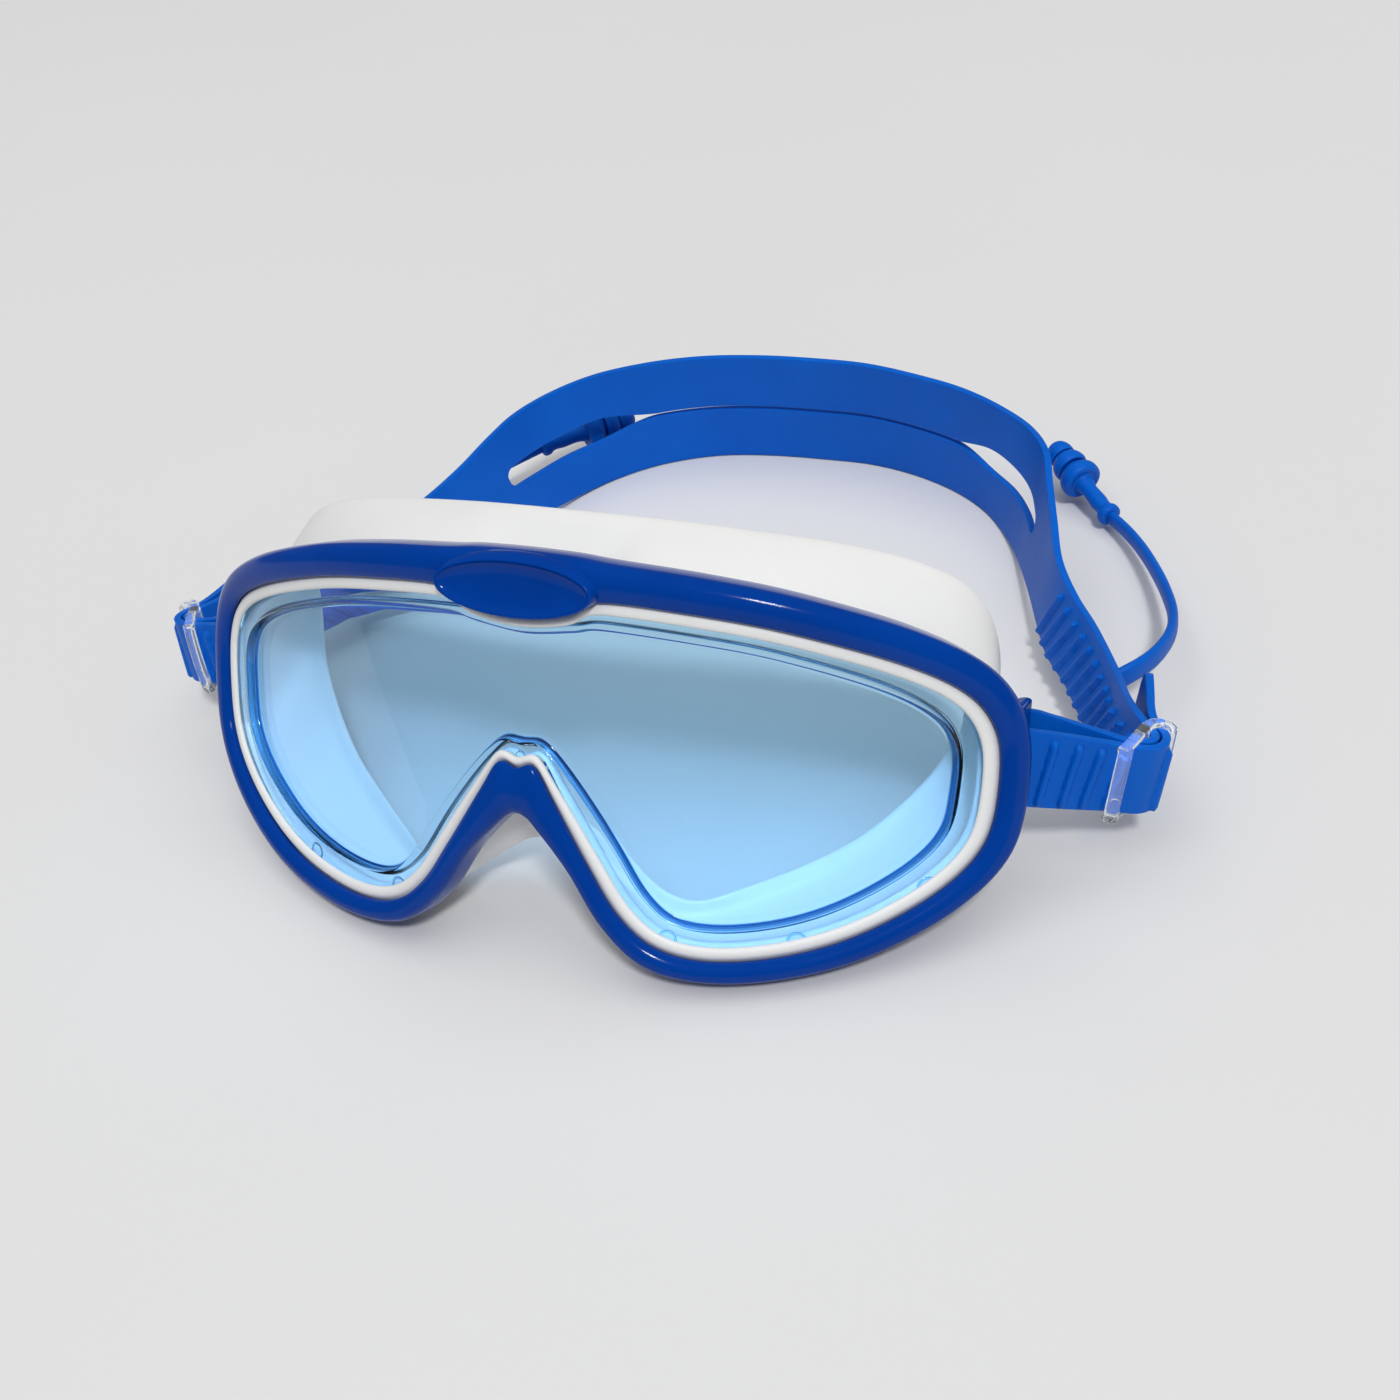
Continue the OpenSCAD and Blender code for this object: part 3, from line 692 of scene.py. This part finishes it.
def woven_end(at, turn, leaves, straight):
    """Rows of the strap over the buckle's bar, round the lug and back to the tail,
    and the rows where its outer flat starts, meets the bar and leaves the bar."""
    axes = turned(turn)
    on_bar, on_lug, on_run = 10, 6, 7

    def by_bar(s, y, z=0.0):
        return np.array(at) + axes @ np.array([s, y, z])

    def by_lug(x, y, z):
        p = stand_up([lug_at[0] + x, lug_at[1] + y, lug_at[2] + z]) * 1000
        return p - np.array([0, mask_front, 0])

    bar_up, lug_up = axes[:, 2], by_lug(0, 0, 1) - by_lug(0, 0, 0)
    out, over, spring = heading(leaves), heading(leaves - 90), heading(tail_angle)
    come_in = [by_bar(*(inner_r * over + straight * k * out)) for k in (1, 0.5)]
    come_in += [by_bar(*q) for q in arc(inner_r, leaves - 90, -90, on_bar)]
    come_in.append(by_bar(-flat_from, -inner_r))
    lug_back = [by_lug(*q, 0.3) for q in arc(loop_r, 80, 180, on_lug, bar_straight)]
    lug_front = [by_lug(*q, -1.1) for q in arc(loop_r, 180, 280, on_lug, -bar_straight)]
    go_out = [by_bar(-flat_from, -outer_r)]
    go_out += [by_bar(*q) for q in arc(outer_r, -90, leaves - 90, on_bar)]
    tail = []
    for k, _ in tail_widths:
        d = tail_long * k
        q = outer_r * over + min(d, tail_bends_at) * out
        tail.append(by_bar(*(q + max(d - tail_bends_at, 0) * spring), tail_rise * k * k))
    run_in = part_way(come_in[-1], lug_back[0], on_run)
    run_out = part_way(lug_front[-1], go_out[0], on_run)
    round_lug = lug_back + lug_front
    path = come_in + run_in + round_lug + run_out + go_out + tail
    ups = [bar_up] * len(come_in) + part_way(bar_up, lug_up, on_run)
    ups += [lug_up] * len(round_lug) + part_way(lug_up, bar_up, on_run)
    ups += [bar_up] * (len(go_out) + len(tail))
    wides = [1] * (len(path) - len(tail)) + [w for _, w in tail_widths]
    rows = []
    for i, (p, up, w) in enumerate(zip(path, ups, wides)):
        t = path[min(i + 1, len(path) - 1)] - path[max(i - 1, 0)]
        across = np.cross(np.cross(t, up), t)
        across *= strap_wide * w / 2 / np.linalg.norm(across)
        rows.append([*(p - across), *(p + across), 0])
    flat = len(come_in) + len(run_in) + len(round_lug) - 1
    return rows, flat, flat + on_run + 1, flat + on_run + 1 + on_bar


def evenly(rows, step, mid, fine=(), closer=2.6):
    """Rows again on a smooth run, close to evenly spaced, closer where it is fine."""
    gaps = np.maximum(np.linalg.norm(np.diff(mid, axis=0), axis=1), 1e-6)
    at = np.concatenate([[0], np.cumsum(gaps)])
    slope = np.diff(rows, axis=0) / gaps[:, None]
    a, b = gaps[:-1, None], gaps[1:, None]
    tangent = np.concatenate(
        [slope[:1], (slope[:-1] * b + slope[1:] * a) / (a + b), slope[-1:]]
    )
    s = np.linspace(0, at[-1], int(at[-1] / step) + 1)
    for first, last in fine:
        s = s[(s < at[first]) | (s > at[last])]
        s = np.sort(np.concatenate([s, np.arange(at[first], at[last], step / closer)]))
    k = np.clip(np.searchsorted(at, s, "right") - 1, 0, len(gaps) - 1)
    h = gaps[k][:, None]
    t = (s - at[k])[:, None] / h
    run = (
        (2 * t**3 - 3 * t**2 + 1) * rows[k]
        + (t**3 - 2 * t**2 + t) * h * tangent[k]
        + (3 * t**2 - 2 * t**3) * rows[k + 1]
        + (t**3 - t**2) * h * tangent[k + 1]
    )
    return run, s, at


woven = [woven_end(*q) for q in buckle_places]
mirror = np.array([-1, 1, 1, -1, 1, 1, 1])
left_run = np.array(left_rows + woven[1][0], float)[::-1] * mirror
strap_rows = np.concatenate([left_run, np.array(right_rows + woven[0][0], float)])
back_row, end_row = len(left_run), len(right_rows)
slot_end_row, rib_rows = 7, (9, 14)
fine = []
for sign, (_, flat, bar, bend) in zip((1, -1), woven):
    for first, last in (
        (slot_end_row - 1, slot_end_row + 1),
        rib_rows,
        (end_row - 1 + flat, end_row + bend),
    ):
        fine.append(tuple(sorted((back_row + sign * first, back_row + sign * last))))
middle = (strap_rows[:, 0:3] + strap_rows[:, 3:6]) / 2
strap, along, row_at = evenly(strap_rows, step=0.6, mid=middle, fine=fine)
lower, upper = strap[:, 0:3], strap[:, 3:6]
forward = np.gradient((lower + upper) / 2, along, axis=0)
across = upper - lower
wide = np.linalg.norm(across, axis=1)
facing = np.cross(forward, across)
facing /= np.linalg.norm(facing, axis=1)[:, None]


def row_place(sign, row):
    """How far along the strap a row lies, counted from the back centre to one side."""
    return np.interp(back_row + sign * row, np.arange(len(row_at)), row_at)


# the slot between the bands is never quite shut and ends in a half round
slot_least, slot_past, slot_round = 0.8, 0.8, 2.3
slot = [row_place(k, slot_end_row) + k * slot_past for k in (-1, 1)]
short = np.minimum(along - slot[0], slot[1] - along)
gap = np.clip(strap[:, 6], slot_least, None)
gap *= np.sqrt(1 - np.clip(1 - (short + 0.03) / slot_round, 0, 0.99) ** 2)
gap /= 2 * wide
slot_first, slot_last = np.searchsorted(along, slot)
lanes = 12
low_share = np.linspace(0, 1, lanes)[None] * (0.5 - gap)[:, None]
share = np.concatenate([low_share, 1 - low_share[:, ::-1]], 1)
height = {side: np.full(share.shape, strap_thick / 2) for side in (1, -1)}


def raise_rib(foot, head, low, high, tall, half):
    """A round rib on the ribbed face, from its foot near the lower edge to its head."""
    run = np.clip((share - low) / (high - low), 0, 1)
    off = along[:, None] - (foot + (head - foot) * run)
    beyond = np.maximum(low - share, share - high).clip(0) * wide[:, None]
    far = np.clip(np.hypot(off, beyond) / half, 0, 1)
    bump = tall * np.sqrt(1 - far**3)
    height[ribbed] = np.maximum(height[ribbed], strap_thick / 2 + bump)


# the ribbed face lies towards the head and, past the lug, on the outside
ribbed = 1 if facing[int(np.searchsorted(along, row_place(1, 11)))][0] < 0 else -1
# Twelve ribs lie inside, evenly spaced from one row to past another, and four outside
inner_rows, inner_spaces, inner_ribs, inner_slant = (9.3, 13), 8.04, 12, 1.08
inner_rib = {"tall": 0.9, "half": 0.6}
outer_shares, outer_slant = (0.22, 0.42, 0.6, 0.79), 0.9
outer_rib = {"tall": 0.85, "half": 0.68}
for sign, (_, flat, bar, bend) in zip((1, -1), woven):
    starts, stops = (row_place(sign, k) for k in inner_rows)
    step = (stops - starts) / inner_spaces
    for k in range(inner_ribs):
        foot = starts + step * k
        raise_rib(foot, foot + step * inner_slant, 0.04, 0.8 - 0.012 * k, **inner_rib)
    starts, stops = row_place(sign, end_row + flat), row_place(sign, end_row + bar)
    for k in outer_shares:
        foot = starts + (stops - starts) * k
        raise_rib(foot, foot + sign * outer_slant, 0.08, 0.84, **outer_rib)
    # and one more outside, on the turn over the bar
    foot = row_place(sign, end_row + (bar + bend) / 2)
    raise_rib(foot, foot + sign * outer_slant, 0.04, 0.82, **outer_rib)

grid = lower[:, None] + across[:, None] * share[:, :, None]
skins = [grid + facing[:, None] * (side * height[side])[:, :, None] for side in (1, -1)]
long, lane_n = share.shape
points = np.concatenate([k.reshape(-1, 3) for k in skins]) + np.array([0, mask_front, 0])
other_skin = long * lane_n
band = bmesh.new()
corners = [band.verts.new(q) for q in points / 1000]
on_skin, on_edge = 0, 1


def add_face(places, group):
    band.faces.new([corners[k] for k in places]).material_index = group


for i in range(long - 1):
    split = slot_first <= i < slot_last
    for j in range(lane_n - 1):
        if j == lanes - 1 and split:
            continue
        a = i * lane_n + j
        quad = (a, a + 1, a + lane_n + 1, a + lane_n)
        add_face(quad, on_skin)
        add_face([other_skin + k for k in quad[::-1]], on_skin)
    for j in (0, lane_n - 1, *((lanes - 1, lanes) if split else ())):
        a = i * lane_n + j
        add_face((a, a + lane_n, other_skin + a + lane_n, other_skin + a), on_edge)
closed = [(slot_first, lanes - 1), (slot_last, lanes - 1)]
closed += [(i, j) for i in (0, long - 1) for j in range(lane_n - 1)]
for i, j in closed:
    a = int(i) * lane_n + j
    add_face((a, a + 1, other_skin + a + 1, other_skin + a), on_edge)
bmesh.ops.recalc_face_normals(band, faces=band.faces)
# all long edges of the strap and the corners of its ends are rounded
corner_angle = 0.8
border = []
for e in band.edges:
    groups = [f.material_index for f in e.link_faces]
    if groups in ([on_skin, on_edge], [on_edge, on_skin]):
        border.append(e)
    elif groups == [on_edge, on_edge] and e.calc_face_angle(0) > corner_angle:
        border.append(e)
bmesh.ops.bevel(
    band,
    geom=border,
    offset=0.0003,
    segments=3,
    profile=0.5,
    affect="EDGES",
    clamp_overlap=True,
)
for f in band.faces:
    f.material_index = 0
mesh = bpy.data.meshes.new("head_strap_band")
band.to_mesh(mesh)
band.free()
smooth_to(mesh, crease=38)
strap_piece = put("head_strap_band", mesh)
blue_silicone = moulded(
    "blue_silicone",
    dark=(0, 0.098, 0.5),
    light=(0, 0.113, 0.56),
    patch=50,
    shine=(0.38, 0.52),
    grain=1500,
    depth=0.15,
    Specular_IOR_Level=0.15,
    Subsurface_Weight=0.12,
    Subsurface_Radius=(0.0008, 0.0014, 0.0035),
    Subsurface_Scale=1,
)
strap_piece.data.materials.append(blue_silicone)
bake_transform(strap_piece)
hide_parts("head_strap", "strap_end_right", "strap_end_left")


# Buckles: a clear three-bar clip at each side, one small injection moulding with a
# round ejector mark. The strap passes over its middle bar twice, under the bowed
# front bar, and the rear bar holds the turn of the strap.
strap_edge = strap_wide / 2
# Each bar's place along and across the strap, how far its middle bows, how far it runs
# past the strap's edge, its width and its thickness: middle, front and rear
clip_bars = [
    ((0, 0), (0, 0), 1.1, 1.85, 1.85),
    ((-3.2, -5.75), (-0.1, -0.4), 0.7, 1.4, 2.3),
    ((4.9, 1.35), (0.1, 0), 0.4, 0.9, 0.9),
]
# The rail that joins the bars at each end: place, and how far past the strap's edge
rail_line = [
    (-3.9, -6.3, 0.3),
    (-3.1, -5.3, 0.5),
    (-1.6, -3, 0.85),
    (0, 0, 1.05),
    (1.4, 1.5, 1.1),
    (2.9, 2.1, 1),
    (4.2, 1.9, 0.7),
    (4.9, 1.4, 0.3),
]
mark_line = [(-3.3, -6.95 - k, -2.6) for k in (-0.4, 0, 0.12)]


def sides_of(line, turn=(0, 0, 1)):
    """The two directions square to a line at each of its points."""
    t = np.gradient(line, axis=0)
    t /= np.linalg.norm(t, axis=1)[:, None]
    s = np.cross(t, np.array(turn, float))
    s /= np.linalg.norm(s, axis=1)[:, None]
    return s, np.cross(s, t)


def squared_round(n, power):
    """Points round a unit section, squarer than a circle where the power is below 1."""
    a = np.arange(n) * 2 * math.pi / n
    return [np.sign(k) * np.abs(k) ** power for k in (np.cos(a), np.sin(a))]


def rod(name, line, wide, thick, turn=(0, 0, 1)):
    """A rounded bar along a line, in the buckle's own frame."""
    line = np.array(line, float)
    s, u = sides_of(line, turn)
    x, y = squared_round(16, 0.6)
    x, y = x * wide / 2, y * thick / 2
    rings = line[:, None] + s[:, None] * x[None, :, None] + u[:, None] * y[None, :, None]
    return stacked(name, list(rings / 1000))


bars = []
for (x, y), (bow_x, bow_y), past, wide, thick in clip_bars:
    line = [
        (x + bow_x * (1 - z * z), y + bow_y * (1 - z * z), z * (strap_edge + past))
        for z in np.linspace(-1, 1, 9)
    ]
    bars.append(rod("bar", line, wide, thick, turn=(1, 0, 0)))
for end in (1, -1):
    line = [(x, y, end * (strap_edge + past)) for x, y, past in rail_line]
    bars.append(rod("rail", line, wide=1.9, thick=1.1))
bars.append(rod("mark", mark_line, wide=1.3, thick=1.3))
clip = bars[0]
join_solids(clip, bars[1:], "UNION")
even = clip.modifiers.new("even", "REMESH")
even.mode = "VOXEL"
even.voxel_size = 0.00013
soft = clip.modifiers.new("soft", "SMOOTH")
soft.iterations = 4
soft.factor = 0.5
settle(clip, crease=180)
clip.data.materials.append(
    clear_plastic(
        "clear_buckle",
        tint=(0.95, 0.97, 0.95),
        deep=(0.9, 0.93, 0.92),
        shade=(0.9, 0.93, 0.96),
        scratches=0.12,
        roughness=0.04,
        clarity=0.95,
    )
)
for name, side, (at, turn, *_) in zip(("buckle_right", "buckle_left"), (1, -1), buckle_places):
    place = np.eye(4)
    place[:3, :3] = np.diag([side, 1, 1]) @ turned(turn)
    place[:3, 3] = (np.array(at) * (side, 1, 1) + np.array([0, mask_front, 0])) / 1000
    mesh = clip.data.copy()
    mesh.transform(Matrix(place.tolist()))
    if side < 0:
        mesh.flip_normals()
    buckle = put("clip_" + name, mesh)
    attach(buckle, name)
    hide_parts(name)
bpy.data.objects.remove(clip)


# Plug cords and ear plugs: each plug hangs on a short flat cord that grows out of the
# outside of the strap, all in the strap's blue silicone. The cord tapers to the plug's
# stem, and the plug has three thin flanges that shrink towards its tip.
right_route = [
    (0.0769, -0.00215, 0.0109), (0.0792, -0.00085, 0.0105), (0.082, 0.00135, 0.0112),
    (0.0842, 0.00525, 0.0108), (0.0858, 0.01115, 0.0098), (0.0863, 0.01705, 0.0088),
    (0.0855, 0.02355, 0.0078), (0.0829, 0.03185, 0.0066), (0.0794, 0.04025, 0.0054),
    (0.0751, 0.04865, 0.0044), (0.0709, 0.05525, 0.0036), (0.0674, 0.05975, 0.0031),
]
left_route = [
    (-0.077, -0.00205, 0.0109), (-0.0792, -0.00085, 0.0105), (-0.0806, 0.00235, 0.0106),
    (-0.0805, 0.00835, 0.0102), (-0.0787, 0.01635, 0.0096), (-0.076, 0.02575, 0.0093),
    (-0.0724, 0.03615, 0.0091), (-0.0682, 0.04575, 0.0089), (-0.0639, 0.05375, 0.0087),
    (-0.0602, 0.05975, 0.0086),
]
# A plug's radius and the distance from its stem's end, up to its tip
plug_shape = [
    (0, 0), (1.9, 0), (2.25, 0.25), (2.35, 0.9), (2.25, 1.6), (1.85, 2.2), (1.75, 5), (1.8, 9.6),
    (2.3, 10.9), (3.4, 10.75), (4, 11.15), (4.2, 12.1), (4, 13.3), (3.1, 14.5), (1.95, 15.6),
    (2.4, 15.5), (3.2, 15.2), (3.5, 15.8), (3.45, 16.9), (2.9, 18.2), (1.85, 19.3),
    (2.2, 19.1), (2.6, 18.9), (2.75, 19.6), (2.6, 21), (2, 22.2), (1, 22.85), (0, 23),
]
# The cord's width at the strap and at the plug, and its thickness, and then the plug's
# number of sides, least radius and gap from the cord's last point
wide_at_strap, wide_at_plug, cord_thick = 0.0044, 0.003, 0.0019
plug_sides, plug_tip_r, plug_off = 48, 0.02, 0.3
plug_turn = np.arange(plug_sides) * 2 * math.pi / plug_sides
plug_shape = np.array(plug_shape, float)
plug_line, _, _ = evenly(plug_shape, step=0.28, mid=plug_shape)
for name, route, aim in (
    ("right", right_route, (-15, 16.4, 5.2)),
    ("left", left_route, (15, 16.5, -1)),
):
    line, run, _ = evenly(np.array(route), step=0.0007, mid=np.array(route))
    s, u = sides_of(line)
    x, y = squared_round(20, 0.8)
    cord_wide = wide_at_strap + (wide_at_plug - wide_at_strap) * run / run[-1]
    rings = line[:, None] + u[:, None] * (x * cord_wide[:, None] / 2)[:, :, None]
    rings = rings + s[:, None] * (y * (cord_thick / 2))[None, :, None]
    cord = stacked("plug_cord_" + name + "_line", list(rings))
    rings = []
    for r, z in plug_line:
        r, z = max(r, plug_tip_r), np.full(plug_sides, z + plug_off)
        rings.append(np.stack([r * np.cos(plug_turn), r * np.sin(plug_turn), z], 1) / 1000)
    plug = stacked("plug_" + name, rings, crease=60)
    look = Vector(aim).to_track_quat("Z", "Y").to_matrix().to_4x4()
    plug.data.transform(Matrix.Translation(Vector(line[-1])) @ look)
    for made, node in ((cord, "plug_cord_" + name), (plug, "ear_plug_" + name)):
        made.data.materials.append(blue_silicone)
        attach(made, "strap")
        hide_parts(node)


# Floor, light and camera: a plain pale table top in a pale room, with a wide soft light
# overhead and one distant lamp at the front right, seen from the front, right and above.
floor_mesh = bpy.data.meshes.new("floor")
floor_mesh.from_pydata([(-3, -3, 0), (3, -3, 0), (3, 3, 0), (-3, 3, 0)], [], [(0, 1, 2, 3)])
floor = put("floor", floor_mesh)
floor.location.z = -0.0002
floor_mesh.materials.append(
    moulded(
        "pale_table",
        dark=(0.7, 0.7, 0.7),
        light=(0.72, 0.72, 0.72),
        patch=3,
        shine=(0.45, 0.55),
        grain=300,
        depth=0.02,
    )
)

key = bpy.data.lights.new("key", "SUN")
key.energy = 1.62
key.angle = math.radians(8)
ceiling = bpy.data.lights.new("ceiling", "AREA")
ceiling.size = 4
ceiling.energy = 58
for light, spot in ((key, (0.67, -0.914, 1.545)), (ceiling, (0, 0.2, 3))):
    lamp = put(light.name, light)
    lamp.location = spot
    lamp.rotation_euler = (-lamp.location).to_track_quat("-Z", "Y").to_euler()
    lamp.visible_glossy = light == key
# the room is pale to look at, through the clear pieces too, dimmer as a light, and dark
# in what the gloss mirrors
pale = 0.75
room_levels = (("Is Diffuse Ray", 0.26), ("Is Glossy Ray", 0.12), ("Is Transmission Ray", pale))
room = bpy.data.worlds.new("room")
room.use_nodes = True
nodes, links = room.node_tree.nodes, room.node_tree.links
ray = nodes.new("ShaderNodeLightPath")
level = None
for kind, strength in room_levels:
    choice = nodes.new("ShaderNodeMapRange")
    links.new(ray.outputs[kind], choice.inputs["Value"])
    choice.inputs["To Min"].default_value = pale
    choice.inputs["To Max"].default_value = strength
    if level:
        links.new(level, choice.inputs["To Min"])
    level = choice.outputs["Result"]
nodes["Background"].inputs["Color"].default_value = (1, 1, 1, 1)
links.new(level, nodes["Background"].inputs["Strength"])
bpy.context.scene.world = room

view = bpy.data.cameras.new("view")
view.sensor_width = 36
view.lens = 46.29
camera = put("view", view)
camera.matrix_world = Matrix(
    (
        (0.9241, -0.1258, 0.3609, 0.12612),
        (0.3568, 0.6221, -0.6969, -0.24483),
        (-0.1368, 0.7728, 0.6198, 0.2105),
        (0, 0, 0, 1),
    )
)
bpy.context.scene.camera = camera
bpy.context.scene.view_settings.view_transform = "Standard"
